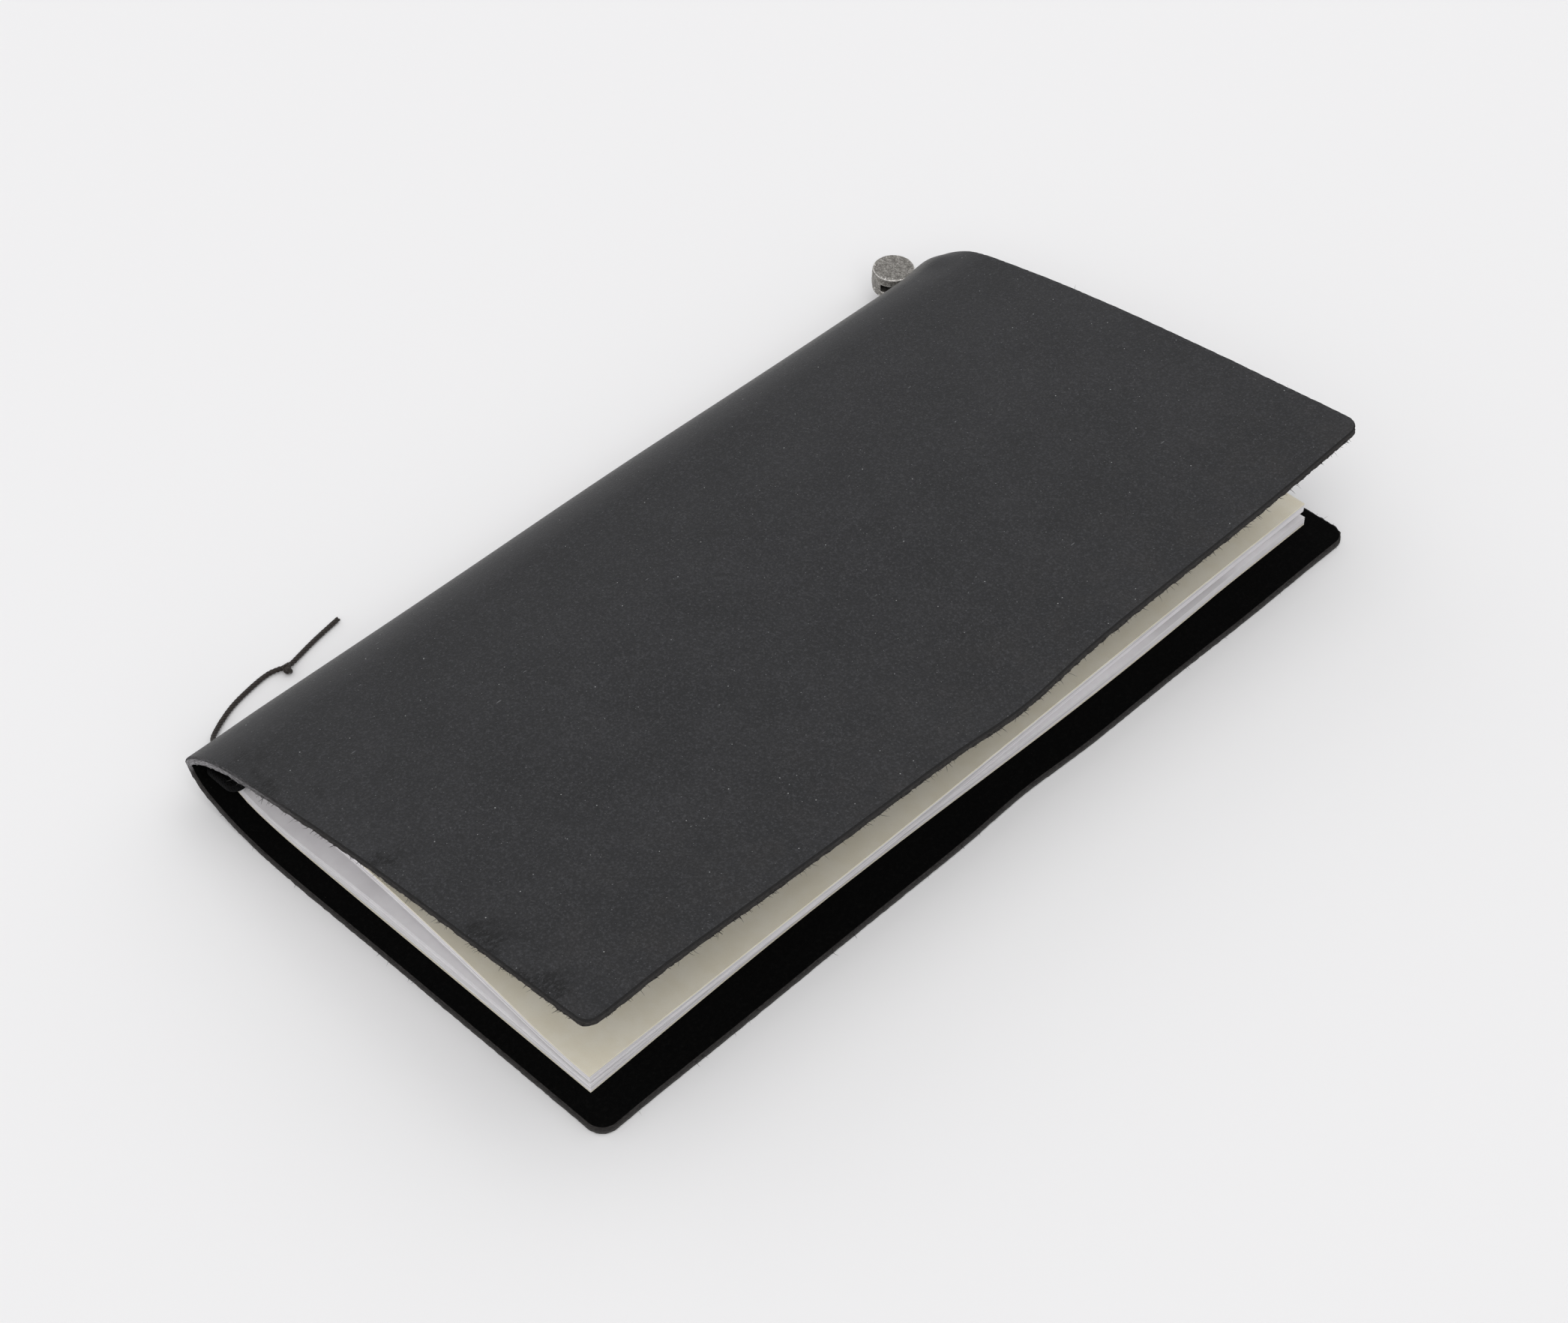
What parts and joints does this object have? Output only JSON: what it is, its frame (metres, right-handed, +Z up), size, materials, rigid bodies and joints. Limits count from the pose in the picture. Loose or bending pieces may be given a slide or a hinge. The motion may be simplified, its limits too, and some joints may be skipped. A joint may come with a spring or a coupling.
{
  "type": "leather notebook cover",
  "caption": "Folded leather notebook cover with a stapled paper booklet held by a spine elastic, a tin clasp and a knotted bookmark cord at the spine.",
  "frame": {"origin": "centre of the rear cover's underside, the face that rests on the table", "axes": "+Z up, +Y along the spine towards the clasp end, +X from the spine to the fore-edge"},
  "size_m": [0.1364, 0.22, 0.0326],
  "materials": {
    "leather": "matte smooth leather, raw suede inside",
    "page_paper": "uncoated paper",
    "cover_card": "uncoated cream card",
    "elastic": "braided covered elastic",
    "waxed_cord": "waxed twisted cord",
    "staple_wire": "plain steel wire",
    "tin_alloy": "rough cast tin alloy with a rubbed rim"
  },
  "bodies": {
    "rear_cover": {"rear_cover": "leather", "rear_leaves_1": "page_paper", "rear_leaves_2": "page_paper", "rear_leaves_3": "page_paper", "rear_leaves_4": "page_paper", "rear_card": "cover_card", "spine_elastic": "elastic", "bookmark_inner_run": "waxed_cord", "bookmark_tail": "waxed_cord", "bookmark_knot": "waxed_cord", "staples": "staple_wire"},
    "spine_strip": {"spine_strip": "leather"},
    "front_cover": {"front_cover": "leather"},
    "front_card": {"front_card": "cover_card"},
    "clasp": {"clasp": "tin_alloy", "elastic_ends": "elastic", "bookmark_upper_end": "waxed_cord"},
    "front_leaves_1": {"front_leaves_1": "page_paper"},
    "front_leaves_2": {"front_leaves_2": "page_paper"},
    "front_leaves_3": {"front_leaves_3": "page_paper"},
    "front_leaves_4": {"front_leaves_4": "page_paper"}
  },
  "joints": [
    {"name": "spine_fold", "type": "hinge", "parent": "rear_cover", "child": "spine_strip", "pos_m": [-0.05885, 0, 0.01019], "axis": [0, -1, 0], "range_deg": [0, 160]},
    {"name": "cover_flex", "type": "hinge", "parent": "spine_strip", "child": "front_cover", "pos_m": [-0.0441, 0, 0.01757], "axis": [0, -1, 0], "range_deg": [-12, 0]},
    {"name": "front_card_turn", "type": "hinge", "parent": "rear_cover", "child": "front_card", "pos_m": [-0.05165, 0, 0.00853], "axis": [0, -1, 0], "range_deg": [0, 94]},
    {"name": "front_leaves_4_turn", "type": "hinge", "parent": "rear_cover", "child": "front_leaves_4", "pos_m": [-0.05165, 0, 0.00853], "axis": [0, -1, 0], "range_deg": [0, 90]},
    {"name": "front_leaves_3_turn", "type": "hinge", "parent": "rear_cover", "child": "front_leaves_3", "pos_m": [-0.05165, 0, 0.00853], "axis": [0, -1, 0], "range_deg": [0, 72]},
    {"name": "front_leaves_2_turn", "type": "hinge", "parent": "rear_cover", "child": "front_leaves_2", "pos_m": [-0.05165, 0, 0.00853], "axis": [0, -1, 0], "range_deg": [0, 52]},
    {"name": "front_leaves_1_turn", "type": "hinge", "parent": "rear_cover", "child": "front_leaves_1", "pos_m": [-0.05165, 0, 0.00853], "axis": [0, -1, 0], "range_deg": [0, 32]},
    {"name": "clasp_drop", "type": "slide", "parent": "rear_cover", "child": "clasp", "axis": [0.3096, 0, -0.9509], "range_m": [0, 0.00453]}
  ],
  "couplings": [
    {"joint": "front_card_turn", "follows": "spine_fold", "ratio": 0.5875},
    {"joint": "front_leaves_4_turn", "follows": "spine_fold", "ratio": 0.5625},
    {"joint": "front_leaves_3_turn", "follows": "spine_fold", "ratio": 0.45},
    {"joint": "front_leaves_2_turn", "follows": "spine_fold", "ratio": 0.325},
    {"joint": "front_leaves_1_turn", "follows": "spine_fold", "ratio": 0.2},
    {"joint": "clasp_drop", "follows": "spine_fold", "m_per_rad": 0.001619}
  ]
}
